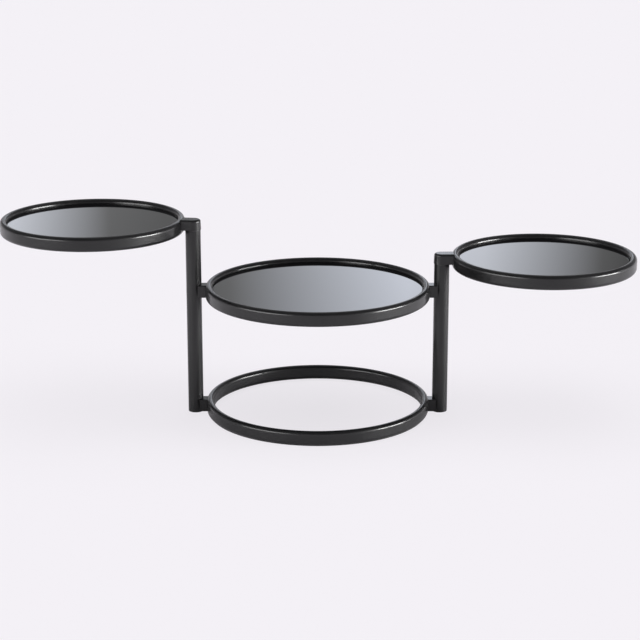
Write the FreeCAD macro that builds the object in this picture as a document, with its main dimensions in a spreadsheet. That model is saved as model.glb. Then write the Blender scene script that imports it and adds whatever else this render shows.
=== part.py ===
import FreeCAD, Part
import math
import os
import Sketcher

# Three-tier swivel coffee table.
# A floor ring carries a tall post on the left and a short one on the right. A fixed middle tray is
# held between the posts, and a smaller tray swivels on the top of each post.
# Sizes are in millimetres. +Z is up, -Y is the front, and the origin is on the floor at the centre
# of the floor ring.

DRIVING_SIZES = [
    ("ring_diameter", 500, "floor ring and middle ring, across the outside"),
    ("tray_diameter", 409, "swivel tray rings, across the outside"),
    ("band_height", 32, "flat-oval bar of every ring, upright"),
    ("band_width", 16, "flat-oval bar of every ring, from outside to inside"),
    ("foot_height", 1, "floor to the underside of the floor ring and of the posts"),
    ("middle_level", 265, "underside of the middle ring"),
    ("right_level", 331, "underside of the right tray's ring"),
    ("left_level", 408, "underside of the left tray's ring"),
    ("left_swing", 8.5, "left tray towards the back, in degrees"),
    ("right_swing", 2, "right tray towards the back, in degrees"),
    ("post_diameter", 34, "post tube, across the outside"),
    ("post_wall", 2, "post tube's wall"),
    ("post_gap", 25.5, "post axis to the outer face of the fixed rings"),
    ("arm_gap", 23, "post axis to the outer face of a swivel tray's ring"),
    ("stub_depth", 29, "box stubs, front to back"),
    ("stub_height", 28, "box stubs, upright"),
    ("stub_edge", 2, "rounding of a box stub's long edges"),
    ("stub_lap", 4, "box stub over the round edges of its ring"),
    ("stub_foot", 1.5, "floor to the underside of the floor ring's stubs"),
    ("arm_radius", 18, "round end of a swivel arm, at its underside"),
    ("arm_height", 23, "swivel arm, upright"),
    ("arm_lap", 2.5, "swivel arm over the round edge of its ring"),
    ("arm_rise", 3.5, "top of a swivel arm above its ring"),
    ("arm_draft", 2, "lean of a swivel arm's sides, in degrees"),
    ("arm_edge", 5, "rounding of a swivel arm's top edge"),
    ("pin_diameter", 16, "pivot pin"),
    ("pin_reach", 45, "pivot pin below its arm"),
    ("pin_socket", 18, "pivot pin inside its arm"),
    ("pin_lead", 1.5, "chamfer on the pivot pin's lower end"),
    ("running_gap", 0.05, "pivot pin to bush, on the radius"),
    ("swivel_gap", 0.2, "bush flange to the arm that turns above it"),
    ("bush_length", 46, "bush inside the post"),
    ("bush_flange", 1, "bush flange, upright"),
    ("flange_setback", 0.5, "bush and plug flanges inside the post's outer face"),
    ("plug_depth", 6, "post plug inside the tube"),
    ("fit_gap", 0.05, "loose fit of fixed round pieces, on the radius"),
    ("glass_thickness", 6, "every glass"),
    ("glass_recess", 10, "glass below the top of its ring"),
    ("glass_gap", 0.5, "glass to the inside of its ring"),
    ("glass_edge", 1, "ground chamfer of the glass"),
    ("tab_count", 6, "tabs under each glass"),
    ("tab_width", 24, "glass tab, along the ring"),
    ("tab_reach", 14, "glass tab, inwards from the ring"),
    ("tab_thickness", 2.5, "glass tab, upright"),
    ("glass_pad_diameter", 8, "clear pad between a tab and the glass"),
    ("glass_pad_height", 1, "clear pad, upright"),
    ("strip_width", 5, "rubber strip under the floor ring, across the bar"),
    ("bolt_diameter", 8, "stub bolt's shank"),
    ("bolt_grip", 6.5, "stub bolt inside its stub"),
    ("bolt_head_diameter", 13, "stub bolt's head"),
    ("bolt_head_height", 8, "stub bolt's head, along the bolt"),
    ("bolt_socket", 3.46, "hexagon socket, centre to corner"),
    ("bolt_socket_depth", 4, "hexagon socket, along the bolt"),
    ("washer_diameter", 14, "saddle washer under the bolt's head, passes the access hole"),
    ("washer_thickness", 3, "saddle washer at its middle"),
    ("access_diameter", 15, "hole in the post's outer side, for the bolt's head"),
    ("cap_depth", 5, "cap that closes the access hole"),
]

# Sizes worked out from the driving ones
RING_RADIUS = "(Sizes.ring_diameter / 2)"
TRAY_RADIUS = "(Sizes.tray_diameter / 2)"
POST_RADIUS = "(Sizes.post_diameter / 2)"
POST_BORE = "(Sizes.post_diameter / 2 - Sizes.post_wall)"
POST_REACH = "(Sizes.ring_diameter / 2 + Sizes.post_gap)"
TRAY_REACH = "(Sizes.tray_diameter / 2 + Sizes.arm_gap)"
FLANGE_RADIUS = "(Sizes.post_diameter / 2 - Sizes.flange_setback)"
ARM_RISE = "(Sizes.band_height + Sizes.arm_rise - Sizes.arm_height)"
POST_DROP = "(Sizes.swivel_gap + Sizes.bush_flange)"
GLASS_RISE = "(Sizes.band_height - Sizes.glass_recess - Sizes.glass_thickness)"
PAD_RISE = "(%s - Sizes.glass_pad_height)" % GLASS_RISE
TAB_RISE = "(%s - Sizes.tab_thickness)" % PAD_RISE
BOLT_RISE = "(Sizes.stub_height / 2)"
BOLT_HEAD_END = "(Sizes.post_diameter / 2 - Sizes.post_wall - Sizes.washer_thickness)"

# Where the rings and posts stand: undersides of the fixed rings and of their stubs, and each side's post
# and tray
FIXED_LEVELS = {"base": "Sizes.foot_height", "middle": "Sizes.middle_level"}
STUB_LEVELS = {"base": "Sizes.stub_foot",
               "middle": "(Sizes.middle_level + (Sizes.band_height - Sizes.stub_height) / 2)"}
SIDES = {
    "left": {"post_x": "-" + POST_REACH, "post_turn": "0",
             "level": "Sizes.left_level", "tray_turn": "(180 - Sizes.left_swing)"},
    "right": {"post_x": POST_REACH, "post_turn": "180",
              "level": "Sizes.right_level", "tray_turn": "Sizes.right_swing"},
}

doc = FreeCAD.newDocument("swivel_coffee_table")
sizes = doc.addObject("Spreadsheet::Sheet", "Sizes")
for row, (alias, value, note) in enumerate(DRIVING_SIZES, start=1):
    sizes.set("A%d" % row, alias)
    sizes.set("B%d" % row, str(value))
    sizes.set("C%d" % row, note)
    sizes.setAlias("B%d" % row, alias)
doc.recompute()

nodes = []


def number(expression):
    """Value of an expression over the sheet."""
    return float(sizes.evalExpression(expression))


def bind(thing, **expressions):
    """Tie properties to expressions over the sheet."""
    for name, expression in expressions.items():
        thing.setExpression(name, expression)


def place(thing, x="0", y="0", z="0", turn="0"):
    """Stand a thing at a point, turned about the upright axis by degrees."""
    # A first turn of 1 degree sets the upright axis that the turn's expression then uses
    thing.Placement = FreeCAD.Placement(FreeCAD.Vector(), FreeCAD.Rotation(FreeCAD.Vector(0, 0, 1), 1))
    thing.setExpression("Placement.Base.x", x)
    thing.setExpression("Placement.Base.y", y)
    thing.setExpression("Placement.Base.z", z)
    thing.setExpression("Placement.Rotation.Angle", turn + " * 1 deg")


def sub_part(thing, label):
    """Keep a finished thing as one of the table's sub-parts."""
    thing.Label = label
    nodes.append(thing)
    return thing


def new_body(label):
    """Start a sub-part that is built up from sketches."""
    return sub_part(doc.addObject("PartDesign::Body", label), label)


def new_blank(label):
    """Start a piece that is still to be fitted to its neighbour."""
    return doc.addObject("PartDesign::Body", label + "_blank")


def fit_to_ring(label, blank, ring):
    """Cut a blank to the round side of the ring that it meets."""
    sub_part(combine("Cut", label, blank, ring), label)


def new_sketch(body, name, role="XY_Plane"):
    """Sketch on one of a body's own origin planes."""
    sketch = body.newObject("Sketcher::SketchObject", body.Name + "_" + name)
    plane = [feature for feature in body.Origin.OriginFeatures if feature.Role == role][0]
    sketch.AttachmentSupport = [(plane, "")]
    sketch.MapMode = "FlatFace"
    return sketch


def measure(sketch, name, expression, kind, *where):
    """Add a named dimension to a sketch and tie it to an expression."""
    index = sketch.addConstraint(Sketcher.Constraint(kind, *where, number(expression)))
    sketch.renameConstraint(index, name)
    sketch.setExpression("Constraints." + name, expression)


def draw_circle(sketch, name, radius, right="0", up="0"):
    """Circle in a sketch, its centre measured from the sketch's origin."""
    centre = FreeCAD.Vector(number(right), number(up), 0)
    circle = sketch.addGeometry(Part.Circle(centre, FreeCAD.Vector(0, 0, 1), number(radius)), False)
    measure(sketch, name + "_radius", radius, "Radius", circle)
    if right == "0" and up == "0":
        sketch.addConstraint(Sketcher.Constraint("Coincident", circle, 3, -1, 1))
        return
    if right == "0":
        sketch.addConstraint(Sketcher.Constraint("PointOnObject", circle, 3, -2))
        measure(sketch, name + "_up", up, "DistanceY", -1, 1, circle, 3)
        return
    sketch.addConstraint(Sketcher.Constraint("PointOnObject", circle, 3, -1))
    measure(sketch, name + "_right", right, "DistanceX", -1, 1, circle, 3)


def draw_box(sketch, right, width, height):
    """Rectangle that stands on a sketch's horizontal axis, placed by its right side."""
    left = number(right) - number(width)
    top = number(height)
    corners = [FreeCAD.Vector(left, 0, 0), FreeCAD.Vector(number(right), 0, 0),
               FreeCAD.Vector(number(right), top, 0), FreeCAD.Vector(left, top, 0)]
    for corner in range(4):
        sketch.addGeometry(Part.LineSegment(corners[corner], corners[(corner + 1) % 4]), False)
    foot, right_side, head, left_side = range(4)
    for line, following in ((foot, right_side), (right_side, head), (head, left_side), (left_side, foot)):
        sketch.addConstraint(Sketcher.Constraint("Coincident", line, 2, following, 1))
    for line in (foot, head):
        sketch.addConstraint(Sketcher.Constraint("Horizontal", line))
    for line in (right_side, left_side):
        sketch.addConstraint(Sketcher.Constraint("Vertical", line))
    sketch.addConstraint(Sketcher.Constraint("PointOnObject", foot, 1, -1))
    measure(sketch, "right_side", right, "DistanceX", -1, 1, foot, 2)
    measure(sketch, "width", width, "DistanceX", foot, 1, foot, 2)
    measure(sketch, "height", height, "DistanceY", right_side, 1, right_side, 2)


def draw_band(sketch, right):
    """Section of the ring bar, with flat sides and half-round edges, placed by its outer side."""
    half = number("Sizes.band_width") / 2
    middle = number(right) - half
    head_level = number("Sizes.band_height") - half
    upright = FreeCAD.Vector(0, 0, 1)
    outside = sketch.addGeometry(Part.LineSegment(FreeCAD.Vector(middle + half, half, 0),
                                                  FreeCAD.Vector(middle + half, head_level, 0)), False)
    head_circle = Part.Circle(FreeCAD.Vector(middle, head_level, 0), upright, half)
    head = sketch.addGeometry(Part.ArcOfCircle(head_circle, 0, math.pi), False)
    inside = sketch.addGeometry(Part.LineSegment(FreeCAD.Vector(middle - half, head_level, 0),
                                                 FreeCAD.Vector(middle - half, half, 0)), False)
    foot_circle = Part.Circle(FreeCAD.Vector(middle, half, 0), upright, half)
    foot = sketch.addGeometry(Part.ArcOfCircle(foot_circle, math.pi, 2 * math.pi), False)
    for edge, following in ((outside, head), (head, inside), (inside, foot), (foot, outside)):
        sketch.addConstraint(Sketcher.Constraint("Tangent", edge, 2, following, 1))
    sketch.addConstraint(Sketcher.Constraint("Vertical", outside))
    measure(sketch, "half_round", "Sizes.band_width / 2", "Radius", foot)
    measure(sketch, "middle", right + " - Sizes.band_width / 2", "DistanceX", -1, 1, foot, 3)
    measure(sketch, "foot_level", "Sizes.band_width / 2", "DistanceY", -1, 1, foot, 3)
    measure(sketch, "head_level", "Sizes.band_height - Sizes.band_width / 2", "DistanceY", -1, 1, head, 3)


def add_pad(body, sketch, length):
    """Raise a sketch into a solid."""
    pad = body.newObject("PartDesign::Pad", body.Name + "_pad")
    pad.Profile = sketch
    bind(pad, Length=length)
    doc.recompute()
    return pad


def add_pocket(body, before, sketch, length, reverse):
    """Cut a sketch out of a body, and make sure that it did cut."""
    pocket = body.newObject("PartDesign::Pocket", body.Name + "_pocket")
    pocket.Profile = sketch
    pocket.Reversed = reverse
    bind(pocket, Length=length)
    doc.recompute()
    if pocket.Shape.Volume >= before.Shape.Volume:
        raise RuntimeError("%s cuts nothing" % pocket.Name)
    return pocket


def add_edge_feature(body, kind, base, wanted, **expressions):
    """Fillet or chamfer on those edges of a feature that the wanted test picks."""
    names = ["Edge%d" % (index + 1) for index, edge in enumerate(base.Shape.Edges) if wanted(edge)]
    feature = body.newObject("PartDesign::" + kind, body.Name + "_" + kind.lower())
    feature.Base = (base, names)
    bind(feature, **expressions)
    doc.recompute()
    return feature


def add_round_copies(body, original, count):
    """Repeat a feature evenly round the body's upright axis."""
    pattern = body.newObject("PartDesign::PolarPattern", body.Name + "_copies")
    upright = [feature for feature in body.Origin.OriginFeatures if feature.Role == "Z_Axis"][0]
    pattern.Originals = [original]
    pattern.Axis = (upright, [""])
    pattern.Angle = 360
    bind(pattern, Occurrences=count)
    body.Tip = pattern
    doc.recompute()


def is_circle(edge):
    """Whole round edges of a turned or raised piece."""
    return edge.Closed and edge.Curve.TypeId == "Part::GeomCircle"


def make_ring(label, radius, level, centre):
    """Ring of flat-oval bar, turned about its own centre."""
    body = new_body(label)
    sketch = new_sketch(body, "section", "XZ_Plane")
    draw_band(sketch, radius)
    turned = body.newObject("PartDesign::Revolution", label + "_turned")
    turned.Profile = sketch
    turned.ReferenceAxis = (sketch, ["V_Axis"])
    turned.Angle = 360
    doc.recompute()
    place(body, z=level, **centre)
    return body


def make_glass_tabs(label, inner, outer, level, centre):
    """Flat tabs spread round the inside of a ring, with curved ends and straight sides."""
    body = new_body(label)
    sketch = new_sketch(body, "sector")
    half = number("Sizes.tab_width") / 2
    near = (number(inner) ** 2 - half ** 2) ** 0.5
    far = (number(outer) ** 2 - half ** 2) ** 0.5
    middle_near = FreeCAD.Vector(number(inner), 0, 0)
    middle_far = FreeCAD.Vector(number(outer), 0, 0)
    corners = [FreeCAD.Vector(near, -half, 0), FreeCAD.Vector(far, -half, 0),
               FreeCAD.Vector(far, half, 0), FreeCAD.Vector(near, half, 0)]
    lower = sketch.addGeometry(Part.LineSegment(corners[0], corners[1]), False)
    upper = sketch.addGeometry(Part.LineSegment(corners[3], corners[2]), False)
    outer_arc = sketch.addGeometry(Part.Arc(corners[1], middle_far, corners[2]), False)
    inner_arc = sketch.addGeometry(Part.Arc(corners[0], middle_near, corners[3]), False)
    for arc, name, radius in ((outer_arc, "outer", outer), (inner_arc, "inner", inner)):
        sketch.addConstraint(Sketcher.Constraint("Coincident", arc, 3, -1, 1))
        measure(sketch, name + "_radius", radius, "Radius", arc)
    for line, arc_end in ((lower, 1), (upper, 2)):
        sketch.addConstraint(Sketcher.Constraint("Coincident", line, 1, inner_arc, arc_end))
        sketch.addConstraint(Sketcher.Constraint("Coincident", line, 2, outer_arc, arc_end))
        sketch.addConstraint(Sketcher.Constraint("Horizontal", line))
    measure(sketch, "lower_half", "Sizes.tab_width / 2", "DistanceY", lower, 1, -1, 1)
    measure(sketch, "upper_half", "Sizes.tab_width / 2", "DistanceY", -1, 1, upper, 1)
    pad = add_pad(body, sketch, "Sizes.tab_thickness")
    add_round_copies(body, pad, "Sizes.tab_count")
    place(body, z=level, **centre)


def make_glass_pads(label, radius, level, centre):
    """Small round pads, one in the middle of each glass tab."""
    body = new_body(label)
    sketch = new_sketch(body, "disc")
    draw_circle(sketch, "pad", "Sizes.glass_pad_diameter / 2", right=radius)
    pad = add_pad(body, sketch, "Sizes.glass_pad_height")
    add_round_copies(body, pad, "Sizes.tab_count")
    place(body, z=level, **centre)


def make_glass(label, radius, level, centre):
    """Round glass with both edges ground to a chamfer."""
    body = new_body(label)
    sketch = new_sketch(body, "outline")
    draw_circle(sketch, "glass", radius)
    pad = add_pad(body, sketch, "Sizes.glass_thickness")
    add_edge_feature(body, "Chamfer", pad, is_circle, Size="Sizes.glass_edge")
    place(body, z=level, **centre)


def make_tray(name, radius, level, centre):
    """Ring with the glass that lies in it, and the tabs and pads that carry the glass."""
    ring_bore = "(%s - Sizes.band_width)" % radius
    tab_inner = "(%s - Sizes.band_width - Sizes.tab_reach)" % radius
    pad_circle = "(%s - Sizes.band_width - Sizes.tab_reach / 2)" % radius
    glass_radius = "(%s - Sizes.band_width - Sizes.glass_gap)" % radius
    ring = make_ring(name + "_ring", radius, level, centre)
    make_glass_tabs(name + "_glass_tabs", tab_inner, ring_bore, level + " + " + TAB_RISE, centre)
    make_glass_pads(name + "_glass_pads", pad_circle, level + " + " + PAD_RISE, centre)
    make_glass(name + "_glass", glass_radius, level + " + " + GLASS_RISE, centre)
    return ring


def make_floor_strip(label):
    """Flat rubber strip that the floor ring stands on."""
    body = new_body(label)
    sketch = new_sketch(body, "outline")
    middle = "(%s - Sizes.band_width / 2)" % RING_RADIUS
    draw_circle(sketch, "outside", middle + " + Sizes.strip_width / 2")
    draw_circle(sketch, "inside", middle + " - Sizes.strip_width / 2")
    add_pad(body, sketch, "Sizes.foot_height")


def make_post(name, side):
    """Post tube, with a bolt hole towards each fixed ring and an access hole opposite it."""
    body = new_body("post_" + name)
    section = new_sketch(body, "section")
    draw_circle(section, "outside", POST_RADIUS)
    draw_circle(section, "bore", POST_BORE)
    length = "%s + %s - %s - Sizes.foot_height" % (side["level"], ARM_RISE, POST_DROP)
    feature = add_pad(body, section, length)
    holes = (("bolt", "Sizes.bolt_diameter / 2 + Sizes.fit_gap", True),
             ("access", "Sizes.access_diameter / 2", False))
    for use, radius, towards_ring in holes:
        sketch = new_sketch(body, use + "_holes", "YZ_Plane")
        for ring, level in STUB_LEVELS.items():
            draw_circle(sketch, ring, radius, up="%s + %s - Sizes.foot_height" % (level, BOLT_RISE))
        feature = add_pocket(body, feature, sketch, "Sizes.post_diameter", towards_ring)
    place(body, x=side["post_x"], z="Sizes.foot_height", turn=side["post_turn"])


def round_bar(name, radius, length, lift="0"):
    """Upright cylinder, its foot lifted above the local origin."""
    bar = doc.addObject("Part::Cylinder", name)
    bind(bar, Radius=radius, Height=length)
    bar.setExpression("Placement.Base.z", lift)
    return bar


def cross_bar(name, radius, length, start):
    """Cylinder lying along local X."""
    bar = doc.addObject("Part::Cylinder", name)
    bar.Placement = FreeCAD.Placement(FreeCAD.Vector(), FreeCAD.Rotation(FreeCAD.Vector(0, 1, 0), 90))
    bind(bar, Radius=radius, Height=length)
    bar.setExpression("Placement.Base.x", start)
    return bar


def combine(kind, name, base, tool):
    """Boolean of two things: Cut, Fuse or Common."""
    result = doc.addObject("Part::" + kind, name)
    result.Base = base
    result.Tool = tool
    return result


def make_plug(name, side):
    """Plastic plug in the foot of a post, with a flange that stands on the floor."""
    label = "post_plug_" + name
    flange = round_bar(label + "_flange", FLANGE_RADIUS, "Sizes.foot_height")
    spigot = round_bar(label + "_spigot", POST_BORE + " - Sizes.fit_gap", "Sizes.plug_depth",
                       lift="Sizes.foot_height")
    plug = combine("Fuse", label, flange, spigot)
    place(plug, x=side["post_x"])
    sub_part(plug, label)


def make_bush(name, side):
    """Flanged nylon bush in the top of a post, which the pivot pin turns in."""
    label = "swivel_bush_" + name
    flange = round_bar(label + "_flange", FLANGE_RADIUS, "Sizes.bush_flange")
    sleeve = round_bar(label + "_sleeve", POST_BORE, "Sizes.bush_length", lift="-Sizes.bush_length")
    solid = combine("Fuse", label + "_solid", flange, sleeve)
    bore = round_bar(label + "_bore", "Sizes.pin_diameter / 2 + Sizes.running_gap",
                     "Sizes.bush_length + Sizes.bush_flange", lift="-Sizes.bush_length")
    bush = combine("Cut", label, solid, bore)
    place(bush, x=side["post_x"], z="%s + %s - %s" % (side["level"], ARM_RISE, POST_DROP))
    sub_part(bush, label)


def make_stub(label, level, side, ring):
    """Box stub between a fixed ring and a post, hollowed to fit both, with a blind bolt hole."""
    body = new_blank(label)
    section = new_sketch(body, "section", "YZ_Plane")
    draw_box(section, "Sizes.stub_depth / 2", "Sizes.stub_depth", "Sizes.stub_height")
    block = add_pad(body, section, "Sizes.post_gap + Sizes.stub_lap")

    def runs_lengthwise(edge):
        return edge.BoundBox.XLength > number("Sizes.post_gap")

    feature = add_edge_feature(body, "Fillet", block, runs_lengthwise, Radius="Sizes.stub_edge")
    post_outline = new_sketch(body, "post_outline")
    draw_circle(post_outline, "post", POST_RADIUS)
    feature = add_pocket(body, feature, post_outline, "Sizes.stub_height", True)
    hole = new_sketch(body, "bolt_hole", "YZ_Plane")
    draw_circle(hole, "bolt", "Sizes.bolt_diameter / 2 + Sizes.fit_gap", up="Sizes.stub_height / 2")
    add_pocket(body, feature, hole, POST_RADIUS + " + Sizes.bolt_grip + Sizes.fit_gap", True)
    place(body, x=side["post_x"], z=level, turn=side["post_turn"])
    fit_to_ring(label, body, ring)


def stub_bolt(label):
    """Socket-head bolt along local X, its head inside the post and its shank in the stub."""
    head = cross_bar(label + "_head", "Sizes.bolt_head_diameter / 2", "Sizes.bolt_head_height",
                     start=BOLT_HEAD_END + " - Sizes.bolt_head_height")
    shank_length = "Sizes.washer_thickness + Sizes.post_wall + Sizes.bolt_grip"
    shank = cross_bar(label + "_shank", "Sizes.bolt_diameter / 2", shank_length, start=BOLT_HEAD_END)
    solid = combine("Fuse", label + "_solid", head, shank)
    socket = doc.addObject("Part::Prism", label + "_socket")
    socket.Polygon = 6
    socket.Placement = FreeCAD.Placement(FreeCAD.Vector(), FreeCAD.Rotation(FreeCAD.Vector(0, 1, 0), 90))
    bind(socket, Circumradius="Sizes.bolt_socket", Height="Sizes.bolt_socket_depth")
    socket.setExpression("Placement.Base.x", BOLT_HEAD_END + " - Sizes.bolt_head_height")
    return combine("Cut", label, solid, socket)


def saddle_washer(label):
    """Washer with a flat face to the bolt's head and a round one to the inside of the post."""
    disc = cross_bar(label + "_disc", "Sizes.washer_diameter / 2", POST_RADIUS, start=BOLT_HEAD_END)
    bore = round_bar(label + "_bore", POST_BORE + " - Sizes.fit_gap", "Sizes.washer_diameter",
                     lift="-Sizes.washer_diameter / 2")
    saddle = combine("Common", label + "_saddle", disc, bore)
    hole = cross_bar(label + "_hole", "Sizes.bolt_diameter / 2 + Sizes.fit_gap", POST_RADIUS, start="0")
    return combine("Cut", label, saddle, hole)


def access_cap(label):
    """Plastic cap, flush with the post's outer side."""
    plug = cross_bar(label + "_plug", "Sizes.access_diameter / 2 - Sizes.fit_gap", POST_RADIUS,
                     start="Sizes.cap_depth - Sizes.post_diameter")
    outside = round_bar(label + "_outside", POST_RADIUS, "Sizes.access_diameter",
                        lift="-Sizes.access_diameter / 2")
    return combine("Common", label, plug, outside)


def make_group(label, maker):
    """The same small piece at every fixed stub, kept together as one sub-part."""
    pieces = []
    for ring, level in STUB_LEVELS.items():
        for name, side in SIDES.items():
            piece = maker("%s_%s_%s" % (label, ring, name))
            place(piece, x=side["post_x"], z=level + " + " + BOLT_RISE, turn=side["post_turn"])
            pieces.append(piece)
    group = doc.addObject("Part::Compound", label)
    group.Links = pieces
    sub_part(group, label)


def make_arm(label, side, ring):
    """Swivel arm: flat sides that run into a round end over the post, shaped to its ring."""
    body = new_blank(label)
    outline = new_sketch(body, "outline")
    radius = number("Sizes.arm_radius")
    length = number("Sizes.arm_gap + Sizes.band_width")
    front = outline.addGeometry(Part.LineSegment(FreeCAD.Vector(0, -radius, 0),
                                                 FreeCAD.Vector(length, -radius, 0)), False)
    end = outline.addGeometry(Part.LineSegment(FreeCAD.Vector(length, -radius, 0),
                                               FreeCAD.Vector(length, radius, 0)), False)
    back = outline.addGeometry(Part.LineSegment(FreeCAD.Vector(length, radius, 0),
                                                FreeCAD.Vector(0, radius, 0)), False)
    round_end = outline.addGeometry(Part.Arc(FreeCAD.Vector(0, radius, 0), FreeCAD.Vector(-radius, 0, 0),
                                             FreeCAD.Vector(0, -radius, 0)), False)
    outline.addConstraint(Sketcher.Constraint("Coincident", front, 2, end, 1))
    outline.addConstraint(Sketcher.Constraint("Coincident", end, 2, back, 1))
    outline.addConstraint(Sketcher.Constraint("Tangent", back, 2, round_end, 1))
    outline.addConstraint(Sketcher.Constraint("Tangent", round_end, 2, front, 1))
    outline.addConstraint(Sketcher.Constraint("Coincident", round_end, 3, -1, 1))
    outline.addConstraint(Sketcher.Constraint("Horizontal", front))
    outline.addConstraint(Sketcher.Constraint("Vertical", end))
    measure(outline, "round_end", "Sizes.arm_radius", "Radius", round_end)
    measure(outline, "length", "Sizes.arm_gap + Sizes.band_width", "DistanceX", -1, 1, front, 2)
    block = add_pad(body, outline, "Sizes.arm_height")
    bind(block, TaperAngle="-Sizes.arm_draft * 1 deg")
    doc.recompute()
    top = block.Shape.BoundBox.ZMax

    def runs_round_the_top(edge):
        box = edge.BoundBox
        return box.ZMin > top - 0.01 and box.XMin < length / 2

    rounded = add_edge_feature(body, "Fillet", block, runs_round_the_top, Radius="Sizes.arm_edge")
    ring_outline = new_sketch(body, "ring_outline")
    draw_circle(ring_outline, "ring", TRAY_RADIUS + " - Sizes.arm_lap", right=TRAY_REACH)
    beside_ring = add_pocket(body, rounded, ring_outline, "Sizes.arm_height", True)
    socket = new_sketch(body, "pin_socket")
    draw_circle(socket, "pin", "Sizes.pin_diameter / 2")
    add_pocket(body, beside_ring, socket, "Sizes.pin_socket", True)
    place(body, x=side["post_x"], z=side["level"] + " + " + ARM_RISE, turn=side["tray_turn"])
    fit_to_ring(label, body, ring)


def make_pin(name, side):
    """Pivot pin, pressed into its arm and turning in the bush."""
    body = new_body(name + "_pivot_pin")
    sketch = new_sketch(body, "section")
    draw_circle(sketch, "pin", "Sizes.pin_diameter / 2")
    pad = add_pad(body, sketch, "Sizes.pin_reach + Sizes.pin_socket")

    def is_foot(edge):
        return is_circle(edge) and edge.BoundBox.ZMax < number("Sizes.pin_lead")

    add_edge_feature(body, "Chamfer", pad, is_foot, Size="Sizes.pin_lead")
    place(body, x=side["post_x"], z="%s + %s - Sizes.pin_reach" % (side["level"], ARM_RISE))


# Floor ring, middle tray and what joins them to the posts
at_centre = {"x": "0", "y": "0", "turn": "0"}
fixed_rings = {"base": make_ring("base_ring", RING_RADIUS, FIXED_LEVELS["base"], at_centre)}
make_floor_strip("floor_strip")
fixed_rings["middle"] = make_tray("middle", RING_RADIUS, FIXED_LEVELS["middle"], at_centre)
for side_name, side_places in SIDES.items():
    make_post(side_name, side_places)
    make_plug(side_name, side_places)
    make_bush(side_name, side_places)
    for ring_name, stub_level in STUB_LEVELS.items():
        make_stub("%s_stub_%s" % (ring_name, side_name), stub_level, side_places, fixed_rings[ring_name])
make_group("stub_bolts", stub_bolt)
make_group("stub_washers", saddle_washer)
make_group("bolt_hole_caps", access_cap)

# Swivel trays
for side_name, side_places in SIDES.items():
    tray_turn = side_places["tray_turn"]
    tray_centre = {
        "x": "%s + %s * cos(%s * 1 deg)" % (side_places["post_x"], TRAY_REACH, tray_turn),
        "y": "%s * sin(%s * 1 deg)" % (TRAY_REACH, tray_turn),
        "turn": tray_turn,
    }
    tray_ring = make_tray(side_name, TRAY_RADIUS, side_places["level"], tray_centre)
    make_arm(side_name + "_arm", side_places, tray_ring)
    make_pin(side_name, side_places)

# Every feature has to be sound before anything is written
doc.recompute()
for thing in doc.Objects:
    if "Invalid" in thing.State or "Error" in thing.State:
        raise RuntimeError("%s failed: %s" % (thing.Name, thing.State))
for node in nodes:
    if node.Shape.isNull() or not node.Shape.isValid() or not node.Shape.Solids:
        raise RuntimeError("%s has no sound shape" % node.Label)

os.makedirs("parts", exist_ok=True)
for node in nodes:
    node.Shape.exportStep(os.path.join("parts", node.Label + ".step"))
    print("%-20s %2d solids %10.0f mm3" % (node.Label, len(node.Shape.Solids), node.Shape.Volume))
print(len(nodes), "sub-parts written")
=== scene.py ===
"""Looks of a swivel coffee table: black coated steel rings, posts and arms, with round black glass tops."""
import math

import bmesh
import bpy
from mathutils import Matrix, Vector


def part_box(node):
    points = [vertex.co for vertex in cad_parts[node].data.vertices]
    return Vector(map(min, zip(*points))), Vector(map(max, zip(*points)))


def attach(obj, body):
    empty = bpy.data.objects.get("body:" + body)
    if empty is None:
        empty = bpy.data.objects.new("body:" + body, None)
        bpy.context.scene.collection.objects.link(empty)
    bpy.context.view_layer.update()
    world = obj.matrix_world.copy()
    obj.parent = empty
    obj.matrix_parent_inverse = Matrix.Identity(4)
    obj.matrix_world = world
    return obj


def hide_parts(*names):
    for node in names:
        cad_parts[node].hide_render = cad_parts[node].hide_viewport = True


bl_info = {
    "name": "Swivel Coffee Table Looks",
    "version": (1, 0, 0),
    "blender": (4, 5, 0),
    "location": "View3D > Sidebar > Table",
    "description": "Finishes the packed coffee table and sets it on a pale studio floor",
    "category": "Object",
}

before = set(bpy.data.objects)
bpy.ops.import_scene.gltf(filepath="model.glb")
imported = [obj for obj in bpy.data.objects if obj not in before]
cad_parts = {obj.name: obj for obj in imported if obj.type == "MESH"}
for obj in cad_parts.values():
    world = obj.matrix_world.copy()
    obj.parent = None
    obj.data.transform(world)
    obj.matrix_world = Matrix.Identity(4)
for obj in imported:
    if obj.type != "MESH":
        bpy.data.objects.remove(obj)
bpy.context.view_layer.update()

MM = 0.001
SIDES = ("left", "right")
TRAYS = ("middle", "left", "right")
COAT = "steel_powder_coated_gloss_black"


# Colours and nodes

def linear_colour(hex_colour):
    """Linear red, green and blue of an sRGB hex colour."""
    channels = []
    for start in (1, 3, 5):
        level = int(hex_colour[start:start + 2], 16) / 255
        channels.append(level / 12.92 if level <= 0.04045 else ((level + 0.055) / 1.055) ** 2.4)
    return tuple(channels)


def add_node(tree, kind, inputs=None, **settings):
    """Adds a node, sets its settings, and fills or links its inputs."""
    node = tree.nodes.new(kind)
    for name, value in settings.items():
        setattr(node, name, value)
    for name, value in (inputs or {}).items():
        if isinstance(value, bpy.types.NodeSocket):
            tree.links.new(value, node.inputs[name])
        else:
            node.inputs[name].default_value = value
    return node


def set_ramp(node, stops):
    """Puts (place, colour) stops on a colour ramp."""
    elements = node.color_ramp.elements
    while len(elements) < len(stops):
        elements.new(1.0)
    for element, (place, colour) in zip(elements, stops):
        element.position = place
        element.color = (*colour, 1.0)


def new_material(name):
    """A material with an empty node tree."""
    material = bpy.data.materials.new(name)
    material.use_nodes = True
    material.node_tree.nodes.clear()
    return material


def features_per_metre(size):
    """The scale of a noise or cell pattern whose features are that many metres across."""
    return 1.0 / size


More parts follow.
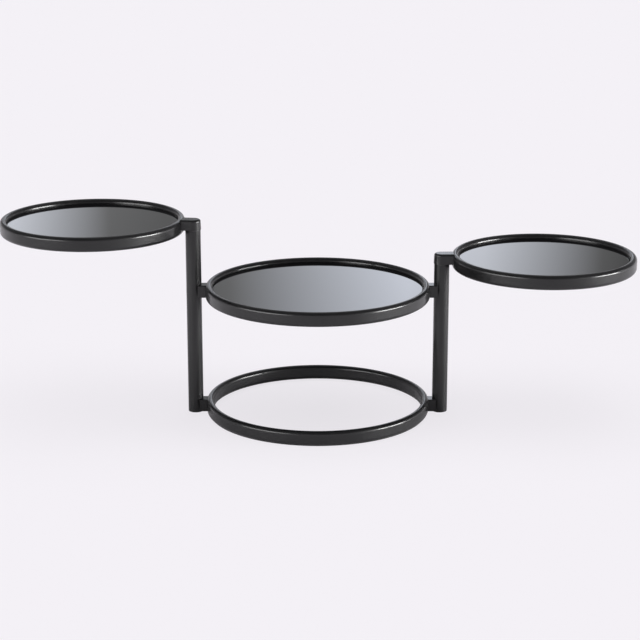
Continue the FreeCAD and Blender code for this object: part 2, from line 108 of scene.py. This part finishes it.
def give(material, names):
    """Puts a material on carried-over nodes."""
    for name in names:
        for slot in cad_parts[name].material_slots:
            slot.material = material


# What a user would change

def colour_setting(name, description, hex_colour):
    """A colour that can be picked in the sidebar."""
    return bpy.props.FloatVectorProperty(
        name=name, description=description, subtype="COLOR", size=3, min=0, max=1,
        default=linear_colour(hex_colour))


def share_setting(name, description, default):
    """A share from 0 to 1, such as a roughness."""
    return bpy.props.FloatProperty(
        name=name, description=description, subtype="FACTOR", min=0, max=1, default=default)


def length_setting(name, description, default):
    """A length in metres."""
    return bpy.props.FloatProperty(name=name, description=description, unit="LENGTH", min=0, default=default)


def angle_setting(name, description, degrees):
    """An angle, given in degrees."""
    return bpy.props.FloatProperty(
        name=name, description=description, subtype="ANGLE", unit="ROTATION", default=math.radians(degrees))


class RingSettings(bpy.types.PropertyGroup):
    """The floor ring and the tray rings."""
    large: length_setting("Large rings", "Floor ring and middle ring, across the outside", 500 * MM)
    small: length_setting("Small rings", "Left and right tray rings, across the outside", 409 * MM)
    bar_height: length_setting("Bar height", "Flat-oval bar of every ring, upright", 32 * MM)
    bar_width: length_setting("Bar width", "Flat-oval bar of every ring, from outside to inside", 16 * MM)
    around: bpy.props.IntProperty(
        name="Steps round", description="Steps round each ring", default=256, min=24)
    over: bpy.props.IntProperty(
        name="Steps over", description="Steps over each half-round edge of the bar", default=20, min=4)


class CoatSettings(bpy.types.PropertyGroup):
    """The black coat on the steel."""
    dark: colour_setting("Coat", "Colour of the coat", "#0A0A0B")
    light: colour_setting("Coat, thin", "Colour where the coat is a little thinner", "#101011")
    satin: share_setting("Satin roughness", "Mean roughness of the satin part of the coat", 0.40)
    gloss: share_setting("Gloss roughness", "Roughness of the gloss skin on top", 0.09)
    gloss_share: share_setting("Gloss share", "How much of the surface the gloss skin covers", 0.5)
    flow: length_setting("Flow", "Size of the soft patches in the coat", 35 * MM)
    peel: length_setting("Peel", "Size of the ripples in the baked coat", 6 * MM)


class GlassSettings(bpy.types.PropertyGroup):
    """The black glass tops."""
    colour: colour_setting("Glass", "Colour of the coat seen through the glass", "#08080A")
    roughness: share_setting("Roughness", "Roughness of the clean polished glass", 0.012)
    film: length_setting("Wiping marks", "Size of the faint wiping marks", 45 * MM)


class FittingSettings(bpy.types.PropertyGroup):
    """The small fittings."""
    nylon: colour_setting("Nylon", "Colour of the bushes, plugs and caps", "#161617")
    grain: length_setting("Nylon grain", "Size of the grain on the moulded nylon", 0.8 * MM)
    rubber: colour_setting("Rubber", "Colour of the floor strip", "#1B1B1A")
    clear: colour_setting("Clear pads", "Tint of the pads below the glass", "#EFF3F2")
    zinc: colour_setting("Zinc", "Colour of the bolts and washers", "#C6CBD1")
    zinc_dull: colour_setting("Zinc, dull", "Colour of the zinc where it has dulled", "#A9AEB3")
    ground: colour_setting("Ground steel", "Colour of the pivot pins", "#B4B3B0")
    scratch: length_setting("Grinding marks", "Distance between the grinding marks", 0.7 * MM)


class StageSettings(bpy.types.PropertyGroup):
    """The floor, the light and the camera."""
    floor: colour_setting("Floor", "Colour of the floor", "#F5F2F7")
    floor_radius: length_setting("Floor radius", "Radius of the floor", 40.0)
    seen_share: share_setting("Seen share", "Share of the floor's plain colour, seen directly", 0.82)
    mirrored_share: share_setting(
        "Mirrored share", "Share of the floor's plain colour, seen in the steel", 0.10)
    light: bpy.props.FloatProperty(
        name="Light", description="Strength of the room's light, with its soft boxes", default=1.0, min=0)
    right_box: bpy.props.FloatProperty(
        name="Right box", description="Strength of the soft box on the right", default=65.0, min=0)
    right_turn: angle_setting("Right turn", "Where the right box stands, from straight behind", 102)
    left_box: bpy.props.FloatProperty(
        name="Left box", description="Strength of the soft box on the left", default=9.0, min=0)
    left_turn: angle_setting("Left turn", "Where the left box stands, from straight behind", -125)
    overhead: bpy.props.FloatProperty(
        name="Overhead", description="Strength of the faint light overhead", default=0.35, min=0)
    floor_lamp: bpy.props.FloatProperty(
        name="Floor lamp", description="Strength of the lamp above that lights the floor",
        default=1.73, min=0)
    floor_lamp_spread: angle_setting("Floor lamp spread", "How wide the lamp looks from the floor", 80)
    camera_place: bpy.props.FloatVectorProperty(
        name="Camera", description="Where the camera stands", subtype="TRANSLATION", unit="LENGTH", size=3,
        default=(0.0051, -4.1352, 1.3717))
    camera_pitch: angle_setting("Pitch", "How far the camera looks down", 15.663)
    camera_lens: bpy.props.FloatProperty(
        name="Lens", description="Focal length on a 36 mm sensor, in millimetres", default=107.97)


class TableSettings(bpy.types.PropertyGroup):
    """All settings of the table."""
    rings: bpy.props.PointerProperty(type=RingSettings)
    coat: bpy.props.PointerProperty(type=CoatSettings)
    glass: bpy.props.PointerProperty(type=GlassSettings)
    fittings: bpy.props.PointerProperty(type=FittingSettings)
    stage: bpy.props.PointerProperty(type=StageSettings)


# Materials

def coated_steel(settings):
    """Steel, powder coated and baked black: a satin sheen with a gloss skin over part of it."""
    material = new_material(COAT)
    tree = material.node_tree
    place = add_node(tree, "ShaderNodeTexCoord")
    # The film flows unevenly over tens of millimetres, which shifts its tone and its gloss a little.
    uneven = 0.04
    flow = add_node(tree, "ShaderNodeTexNoise", {
        "Vector": place.outputs["Object"], "Scale": features_per_metre(settings.flow), "Detail": 3.0})
    tone = add_node(tree, "ShaderNodeMix", {
        "Factor": flow.outputs["Fac"], "A": (*settings.dark, 1.0), "B": (*settings.light, 1.0)},
        data_type="RGBA")
    satin = add_node(tree, "ShaderNodeMapRange", {
        "Value": flow.outputs["Fac"], "From Min": 0.3, "From Max": 0.7,
        "To Min": settings.satin - uneven, "To Max": settings.satin + uneven})
    # Real ripples are 1 to 2 mm across. They are drawn coarser, because those are too fine to show.
    ripple = add_node(tree, "ShaderNodeTexNoise", {
        "Vector": place.outputs["Object"], "Scale": features_per_metre(settings.peel), "Detail": 1.0})
    bump = add_node(tree, "ShaderNodeBump", {
        "Height": ripple.outputs["Fac"], "Strength": 0.06, "Distance": 0.3 * MM})
    # The satin part and the gloss skin share the surface, so each has its share of a whole mirror.
    whole_mirror = 0.5
    resin_ior = 1.50
    shader = add_node(tree, "ShaderNodeBsdfPrincipled", {
        "Base Color": tone.outputs["Result"], "Roughness": satin.outputs["Result"], "IOR": resin_ior,
        "Specular IOR Level": whole_mirror * (1 - settings.gloss_share), "Coat Weight": settings.gloss_share,
        "Coat Roughness": settings.gloss, "Coat IOR": resin_ior,
        "Normal": bump.outputs["Normal"], "Coat Normal": bump.outputs["Normal"]})
    add_node(tree, "ShaderNodeOutputMaterial", {"Surface": shader.outputs["BSDF"]})
    return material


def coat_in_use(context):
    """The coat that other steel already has, or a new one."""
    return bpy.data.materials.get(COAT) or coated_steel(context.scene.table.coat)


def black_glass(settings):
    """Float glass, polished, with a black coat below. It mirrors like still water and is black in depth."""
    material = new_material("float_glass_black_backed")
    tree = material.node_tree
    place = add_node(tree, "ShaderNodeTexCoord")
    # Wiping leaves a faint film that dulls the mirror in soft patches.
    film_dulls = 0.03
    film = add_node(tree, "ShaderNodeTexNoise", {
        "Vector": place.outputs["Object"], "Scale": features_per_metre(settings.film), "Detail": 4.0,
        "Distortion": 0.8})
    gloss = add_node(tree, "ShaderNodeMapRange", {
        "Value": film.outputs["Fac"], "From Min": 0.4, "From Max": 0.75,
        "To Min": settings.roughness, "To Max": settings.roughness + film_dulls})
    shader = add_node(tree, "ShaderNodeBsdfPrincipled", {
        "Base Color": (*settings.colour, 1.0), "Roughness": gloss.outputs["Result"], "IOR": 1.52})
    add_node(tree, "ShaderNodeOutputMaterial", {"Surface": shader.outputs["BSDF"]})
    return material


def moulded_nylon(settings):
    """Nylon, moulded black in a spark-eroded tool, which leaves an even matt grain."""
    material = new_material("nylon_moulded_black")
    tree = material.node_tree
    place = add_node(tree, "ShaderNodeTexCoord")
    # The grain is about 0.2 mm across. It is drawn coarser, because that is too fine to show.
    grain = add_node(tree, "ShaderNodeTexVoronoi", {
        "Vector": place.outputs["Object"], "Scale": features_per_metre(settings.grain)}, feature="SMOOTH_F1")
    bump = add_node(tree, "ShaderNodeBump", {
        "Height": grain.outputs["Distance"], "Strength": 0.15, "Distance": 0.1 * MM})
    dull = add_node(tree, "ShaderNodeMapRange", {
        "Value": grain.outputs["Distance"], "To Min": 0.48, "To Max": 0.60})
    shader = add_node(tree, "ShaderNodeBsdfPrincipled", {
        "Base Color": (*settings.nylon, 1.0), "Roughness": dull.outputs["Result"], "IOR": 1.53,
        "Normal": bump.outputs["Normal"]})
    add_node(tree, "ShaderNodeOutputMaterial", {"Surface": shader.outputs["BSDF"]})
    return material


def pressed_rubber(settings):
    """Rubber, pressed in a mould and scuffed by the floor: dull, with a dusty bloom in patches."""
    material = new_material("rubber_pressed_black")
    tree = material.node_tree
    place = add_node(tree, "ShaderNodeTexCoord")
    bloom_size = 5 * MM
    bloom = add_node(tree, "ShaderNodeTexNoise", {
        "Vector": place.outputs["Object"], "Scale": features_per_metre(bloom_size), "Detail": 4.0})
    dull = add_node(tree, "ShaderNodeMapRange", {
        "Value": bloom.outputs["Fac"], "To Min": 0.75, "To Max": 0.95})
    bump = add_node(tree, "ShaderNodeBump", {
        "Height": bloom.outputs["Fac"], "Strength": 0.2, "Distance": 0.2 * MM})
    shader = add_node(tree, "ShaderNodeBsdfPrincipled", {
        "Base Color": (*settings.rubber, 1.0), "Roughness": dull.outputs["Result"], "IOR": 1.52,
        "Normal": bump.outputs["Normal"]})
    add_node(tree, "ShaderNodeOutputMaterial", {"Surface": shader.outputs["BSDF"]})
    return material


def clear_pad(settings):
    """Polyurethane, cast clear and soft. Its skin is slightly hazy, so it blurs what lies behind."""
    material = new_material("polyurethane_cast_clear")
    tree = material.node_tree
    place = add_node(tree, "ShaderNodeTexCoord")
    haze_size = 2 * MM
    haze = add_node(tree, "ShaderNodeTexNoise", {
        "Vector": place.outputs["Object"], "Scale": features_per_metre(haze_size), "Detail": 2.0})
    blur = add_node(tree, "ShaderNodeMapRange", {
        "Value": haze.outputs["Fac"], "To Min": 0.10, "To Max": 0.25})
    shader = add_node(tree, "ShaderNodeBsdfPrincipled", {
        "Base Color": (*settings.clear, 1.0), "Roughness": blur.outputs["Result"], "IOR": 1.50,
        "Transmission Weight": 1.0})
    add_node(tree, "ShaderNodeOutputMaterial", {"Surface": shader.outputs["BSDF"]})
    return material


def zinc_plate(settings):
    """Steel, plated with bright zinc that has dulled a little in clouds."""
    material = new_material("steel_zinc_plated")
    tree = material.node_tree
    place = add_node(tree, "ShaderNodeTexCoord")
    cloud_size = 4 * MM
    clouds = add_node(tree, "ShaderNodeTexNoise", {
        "Vector": place.outputs["Object"], "Scale": features_per_metre(cloud_size), "Detail": 3.0})
    tone = add_node(tree, "ShaderNodeMix", {
        "Factor": clouds.outputs["Fac"], "A": (*settings.zinc, 1.0), "B": (*settings.zinc_dull, 1.0)},
        data_type="RGBA")
    dull = add_node(tree, "ShaderNodeMapRange", {
        "Value": clouds.outputs["Fac"], "To Min": 0.22, "To Max": 0.42})
    shader = add_node(tree, "ShaderNodeBsdfPrincipled", {
        "Base Color": tone.outputs["Result"], "Metallic": 1.0, "Roughness": dull.outputs["Result"]})
    add_node(tree, "ShaderNodeOutputMaterial", {"Surface": shader.outputs["BSDF"]})
    return material


def ground_steel(settings):
    """Steel, ground between wheels and oiled. Fine marks run round the pin and stretch its highlights."""
    material = new_material("steel_ground_oiled")
    tree = material.node_tree
    place = add_node(tree, "ShaderNodeTexCoord")
    # Grinding marks are about 0.05 mm apart. They are drawn coarser, because those are too fine to show.
    # A band wave has 20 / (2 pi) bands for each unit of its scale.
    scale_of_one_band = 2 * math.pi / 20
    marks = add_node(tree, "ShaderNodeTexWave", {
        "Vector": place.outputs["Object"], "Scale": features_per_metre(settings.scratch) * scale_of_one_band,
        "Distortion": 2.0, "Detail": 3.0}, bands_direction="Z")
    bump = add_node(tree, "ShaderNodeBump", {
        "Height": marks.outputs["Fac"], "Strength": 0.1, "Distance": 0.05 * MM})
    dull = add_node(tree, "ShaderNodeMapRange", {
        "Value": marks.outputs["Fac"], "To Min": 0.18, "To Max": 0.30})
    shader = add_node(tree, "ShaderNodeBsdfPrincipled", {
        "Base Color": (*settings.ground, 1.0), "Metallic": 1.0, "Roughness": dull.outputs["Result"],
        "Normal": bump.outputs["Normal"]})
    add_node(tree, "ShaderNodeOutputMaterial", {"Surface": shader.outputs["BSDF"]})
    return material


def floor_paper(settings):
    """Seamless paper, rolled out pale and plain. It takes the shadow and keeps it light."""
    material = new_material("paper_seamless_pale")
    tree = material.node_tree
    colour = (*settings.floor, 1.0)
    paper = add_node(tree, "ShaderNodeBsdfDiffuse", {"Color": colour})
    plain = add_node(tree, "ShaderNodeEmission", {"Color": colour, "Strength": 1.0})
    # Seen directly, in a mirror or through glass, the paper shows a share of its plain colour. It gives the
    # object no more light.
    path = add_node(tree, "ShaderNodeLightPath")
    mirrored = add_node(tree, "ShaderNodeMath", {
        0: path.outputs["Is Glossy Ray"], 1: path.outputs["Is Transmission Ray"]}, operation="MAXIMUM")
    mirrored_share = add_node(tree, "ShaderNodeMath", {
        0: mirrored.outputs[0], 1: settings.mirrored_share}, operation="MULTIPLY")
    share = add_node(tree, "ShaderNodeMath", {
        0: path.outputs["Is Camera Ray"], 1: settings.seen_share, 2: mirrored_share.outputs[0]},
        operation="MULTIPLY_ADD")
    top = add_node(tree, "ShaderNodeMixShader", {
        0: share.outputs[0], 1: paper.outputs["BSDF"], 2: plain.outputs["Emission"]})
    # From below, the paper is clear, so that the underside of the table can be looked at.
    side = add_node(tree, "ShaderNodeNewGeometry")
    clear = add_node(tree, "ShaderNodeBsdfTransparent")
    surface = add_node(tree, "ShaderNodeMixShader", {
        0: side.outputs["Backfacing"], 1: top.outputs["Shader"], 2: clear.outputs["BSDF"]})
    add_node(tree, "ShaderNodeOutputMaterial", {"Surface": surface.outputs["Shader"]})
    return material


# Studio light

def patch(tree, turn, climb, middle, sides, bottom, top):
    """How far a direction lies inside a soft-edged patch of the room, from 0 to 1.

    The sides, bottom and top are pairs of angles in degrees, where the patch begins and where it is full."""
    away = add_node(tree, "ShaderNodeMath", {0: turn, 1: middle}, operation="SUBTRACT")
    aside = add_node(tree, "ShaderNodeMath", {0: away.outputs[0]}, operation="ABSOLUTE")
    edges = []
    for angle, (begin, full) in ((aside.outputs[0], sides), (climb, bottom), (climb, top)):
        edges.append(add_node(tree, "ShaderNodeMapRange", {
            "Value": angle, "From Min": math.radians(begin), "From Max": math.radians(full)},
            interpolation_type="SMOOTHSTEP").outputs["Result"])
    upright = add_node(tree, "ShaderNodeMath", {0: edges[1], 1: edges[2]}, operation="MULTIPLY")
    inside = add_node(tree, "ShaderNodeMath", {0: edges[0], 1: upright.outputs[0]}, operation="MULTIPLY")
    return inside.outputs[0]


def dome_light(tree, climb, floor):
    """The room has the floor's colour at the horizon and is dim above, so that the rims stay dark on top."""
    height = add_node(tree, "ShaderNodeMapRange", {"Value": climb, "From Max": math.pi / 2})
    dome = add_node(tree, "ShaderNodeValToRGB", {"Fac": height.outputs["Result"]})
    # Each pair is an angle above the horizon, in degrees, and a share of the floor's colour.
    levels = ((0, 1.0), (5, 0.9), (9, 0.25), (40, 0.16), (90, 0.18))
    set_ramp(dome, [(angle / 90, [level * channel for channel in floor]) for angle, level in levels])
    return dome.outputs["Color"]


def wall_light(tree, turn):
    """Two lit patches of the wall behind the table fade into dark between them."""
    brightest = 2.4
    half_span = 14
    across = add_node(tree, "ShaderNodeMapRange", {
        "Value": turn, "From Min": -math.radians(half_span), "From Max": math.radians(half_span)})
    wall = add_node(tree, "ShaderNodeValToRGB", {"Fac": across.outputs["Result"]})
    cool = linear_colour("#EEF3FF")
    # Each pair is an angle from straight behind, in degrees, and a share of the brightest light.
    stops = []
    for angle, level in ((-9.3, 0.80), (-6.4, 0.17), (-4.6, 0.13), (-2.8, 0.20), (2.7, 1.0), (5.0, 0.84),
                         (8.6, 0.14), (10, 0.07)):
        # The brighter it is, the cooler.
        tint = [level * (1 + (channel - 1) * level) for channel in cool]
        stops.append(((angle + half_span) / (2 * half_span), tint))
    set_ramp(wall, stops)
    return add_node(tree, "ShaderNodeVectorMath", {0: wall.outputs["Color"], "Scale": brightest},
                    operation="SCALE").outputs["Vector"]


def studio_world(settings):
    """A dim room with a lit wall behind the table, a soft box on each side and a faint one overhead."""
    world = bpy.data.worlds.new("studio")
    world.use_nodes = True
    tree = world.node_tree
    tree.nodes.clear()
    place = add_node(tree, "ShaderNodeTexCoord")
    toward = add_node(tree, "ShaderNodeSeparateXYZ", {"Vector": place.outputs["Generated"]})
    # Turn is zero straight behind the table and grows to the right. Climb is the angle above the horizon.
    turn = add_node(tree, "ShaderNodeMath", {0: toward.outputs["X"], 1: toward.outputs["Y"]},
                    operation="ARCTAN2").outputs[0]
    climb = add_node(tree, "ShaderNodeMath", {0: toward.outputs["Z"]}, operation="ARCSINE").outputs[0]
    behind = patch(tree, turn, climb, middle=0.0, sides=(13.5, 11), bottom=(9, 11.5), top=(30, 19))
    light = add_node(tree, "ShaderNodeMix", {
        "Factor": behind, "A": dome_light(tree, climb, settings.floor), "B": wall_light(tree, turn)},
        data_type="RGBA").outputs["Result"]
    # The box on the right draws the bright lines on the rims, and the one on the left a softer sheen. The
    # right one stays low, so that the glass doesn't mirror it when it is seen from a little above.
    for middle, strength, sides, bottom, top in (
            (settings.right_turn, settings.right_box, (22, 12), (-8, -1), (10, 3)),
            (settings.left_turn, settings.left_box, (35, 12), (-8, -1), (18, 10)),
            (0.0, settings.overhead, (110, 20), (30, 60), (91, 90))):
        box = patch(tree, turn, climb, middle, sides, bottom, top)
        glow = add_node(tree, "ShaderNodeMath", {0: box, 1: strength}, operation="MULTIPLY")
        light = add_node(tree, "ShaderNodeVectorMath", {0: light, 1: glow.outputs[0]},
                         operation="ADD").outputs["Vector"]
    sky = add_node(tree, "ShaderNodeBackground", {"Color": light, "Strength": settings.light})
    add_node(tree, "ShaderNodeOutputWorld", {"Surface": sky.outputs["Background"]})
    return world


# Rings

def bar_section(settings, outside):
    """Points round the section of a ring's bar, each a distance from the ring's axis and a height."""
    half = settings.bar_width / 2
    middle = outside - half
    head = settings.bar_height - half
    # A row of points close to each end of the flat sides keeps their shading flat.
    margin = half / 8
    inner_rows = (head - margin, half + margin)
    points = []
    for level, start, side, rows in ((head, 0.0, -half, inner_rows), (half, math.pi, half, inner_rows[::-1])):
        for step in range(settings.over + 1):
            angle = start + math.pi * step / settings.over
            points.append((middle + half * math.cos(angle), level + half * math.sin(angle)))
        points += [(middle + side, row) for row in rows]
    return points


def turned_ring(name, settings, diameter, coat):
    """A ring of flat-oval bar: the bar's section, turned once round the upright axis."""
    shape = bmesh.new()
    corners = [shape.verts.new((out, 0, up)) for out, up in bar_section(settings, diameter / 2)]
    outline = [shape.edges.new((corners[index - 1], corner)) for index, corner in enumerate(corners)]
    bmesh.ops.spin(shape, geom=corners + outline, cent=(0, 0, 0), axis=(0, 0, 1), angle=2 * math.pi,
                   steps=settings.around, use_merge=True)
    bmesh.ops.recalc_face_normals(shape, faces=shape.faces)
    mesh = bpy.data.meshes.new(name)
    shape.to_mesh(mesh)
    shape.free()
    mesh.shade_smooth()
    mesh.materials.append(coat)
    return bpy.data.objects.new(name, mesh)


# Operators

class TABLE_OT_stage(bpy.types.Operator):
    """Lays the floor, sets the studio light and places the camera"""
    bl_idname = "table.stage"
    bl_label = "Stage"

    def execute(self, context):
        settings = context.scene.table.stage
        self.lay_floor(context, settings)
        context.scene.world = studio_world(settings)
        self.hang_lamp(context, settings)
        self.place_camera(context, settings)
        context.scene.view_settings.view_transform = "Standard"
        return {"FINISHED"}

    def lay_floor(self, context, settings):
        """Rolls out the paper as a wide disc."""
        mesh = bpy.data.meshes.new("floor")
        shape = bmesh.new()
        bmesh.ops.create_circle(shape, cap_ends=True, segments=96, radius=settings.floor_radius)
        shape.to_mesh(mesh)
        shape.free()
        mesh.materials.append(floor_paper(settings))
        floor = bpy.data.objects.new("floor", mesh)
        context.scene.collection.objects.link(floor)

    def hang_lamp(self, context, settings):
        """Hangs a wide lamp far above. It lights the floor, and no glass or steel mirrors it."""
        data = bpy.data.lights.new("floor_lamp", "SUN")
        data.energy = settings.floor_lamp
        data.angle = settings.floor_lamp_spread
        lamp = bpy.data.objects.new("floor_lamp", data)
        lamp.visible_glossy = False
        context.scene.collection.objects.link(lamp)

    def place_camera(self, context, settings):
        """Stands the camera in front of the table, a little above it."""
        data = bpy.data.cameras.new("camera")
        data.lens = settings.camera_lens
        data.sensor_width = 36.0
        camera = bpy.data.objects.new("camera", data)
        camera.location = settings.camera_place
        camera.rotation_euler = (math.pi / 2 - settings.camera_pitch, 0, 0)
        context.scene.collection.objects.link(camera)
        context.scene.camera = camera


class TABLE_OT_rings(bpy.types.Operator):
    """Turns the floor ring and the three tray rings"""
    bl_idname = "table.rings"
    bl_label = "Rings"

    def execute(self, context):
        settings = context.scene.table.rings
        coat = coat_in_use(context)
        for node, body, diameter in (
                ("base_ring", "frame", settings.large), ("middle_ring", "frame", settings.large),
                ("left_ring", "left_tray", settings.small), ("right_ring", "right_tray", settings.small)):
            low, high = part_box(node)
            ring = turned_ring(node + "_bar", settings, diameter, coat)
            ring.location = (low + high) / 2
            ring.location.z -= settings.bar_height / 2
            context.scene.collection.objects.link(ring)
            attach(ring, body)
            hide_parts(node)
        return {"FINISHED"}


class TABLE_OT_coated_steel(bpy.types.Operator):
    """Coats the stubs, posts, arms and glass tabs"""
    bl_idname = "table.coated_steel"
    bl_label = "Coated steel"

    def execute(self, context):
        names = [tray + "_glass_tabs" for tray in TRAYS]
        for side in SIDES:
            names += ["base_stub_" + side, "middle_stub_" + side, "post_" + side, side + "_arm"]
        give(coat_in_use(context), names)
        return {"FINISHED"}


class TABLE_OT_glass_tops(bpy.types.Operator):
    """Finishes the three glass tops"""
    bl_idname = "table.glass_tops"
    bl_label = "Glass tops"

    def execute(self, context):
        give(black_glass(context.scene.table.glass), [tray + "_glass" for tray in TRAYS])
        return {"FINISHED"}


class TABLE_OT_nylon_fittings(bpy.types.Operator):
    """Finishes the swivel bushes, the post plugs and the caps of the bolt holes"""
    bl_idname = "table.nylon_fittings"
    bl_label = "Nylon fittings"

    def execute(self, context):
        names = ["bolt_hole_caps"]
        for side in SIDES:
            names += ["swivel_bush_" + side, "post_plug_" + side]
        give(moulded_nylon(context.scene.table.fittings), names)
        return {"FINISHED"}


class TABLE_OT_strip_and_pads(bpy.types.Operator):
    """Finishes the rubber strip on the floor and the clear pads below the glass"""
    bl_idname = "table.strip_and_pads"
    bl_label = "Strip and pads"

    def execute(self, context):
        settings = context.scene.table.fittings
        give(pressed_rubber(settings), ["floor_strip"])
        give(clear_pad(settings), [tray + "_glass_pads" for tray in TRAYS])
        return {"FINISHED"}


class TABLE_OT_bolts_and_pins(bpy.types.Operator):
    """Finishes the stub bolts with their washers, and the pivot pins"""
    bl_idname = "table.bolts_and_pins"
    bl_label = "Bolts and pins"

    def execute(self, context):
        settings = context.scene.table.fittings
        give(zinc_plate(settings), ["stub_bolts", "stub_washers"])
        give(ground_steel(settings), [side + "_pivot_pin" for side in SIDES])
        return {"FINISHED"}


class TABLE_PT_panel(bpy.types.Panel):
    """Lists the steps that finish the table"""
    bl_idname = "TABLE_PT_panel"
    bl_label = "Coffee Table"
    bl_space_type = "VIEW_3D"
    bl_region_type = "UI"
    bl_category = "Table"

    def draw(self, context):
        for step in STEPS:
            self.layout.operator(step.bl_idname)


STEPS = (TABLE_OT_stage, TABLE_OT_rings, TABLE_OT_coated_steel, TABLE_OT_glass_tops, TABLE_OT_nylon_fittings,
         TABLE_OT_strip_and_pads, TABLE_OT_bolts_and_pins)
CLASSES = (RingSettings, CoatSettings, GlassSettings, FittingSettings, StageSettings, TableSettings, *STEPS,
           TABLE_PT_panel)


def register():
    for each in CLASSES:
        bpy.utils.register_class(each)
    bpy.types.Scene.table = bpy.props.PointerProperty(type=TableSettings)


def unregister():
    del bpy.types.Scene.table
    for each in reversed(CLASSES):
        bpy.utils.unregister_class(each)


def main():
    """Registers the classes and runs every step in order."""
    register()
    bpy.ops.table.stage()
    bpy.ops.table.rings()
    bpy.ops.table.coated_steel()
    bpy.ops.table.glass_tops()
    bpy.ops.table.nylon_fittings()
    bpy.ops.table.strip_and_pads()
    bpy.ops.table.bolts_and_pins()


if __name__ == "__main__":
    main()
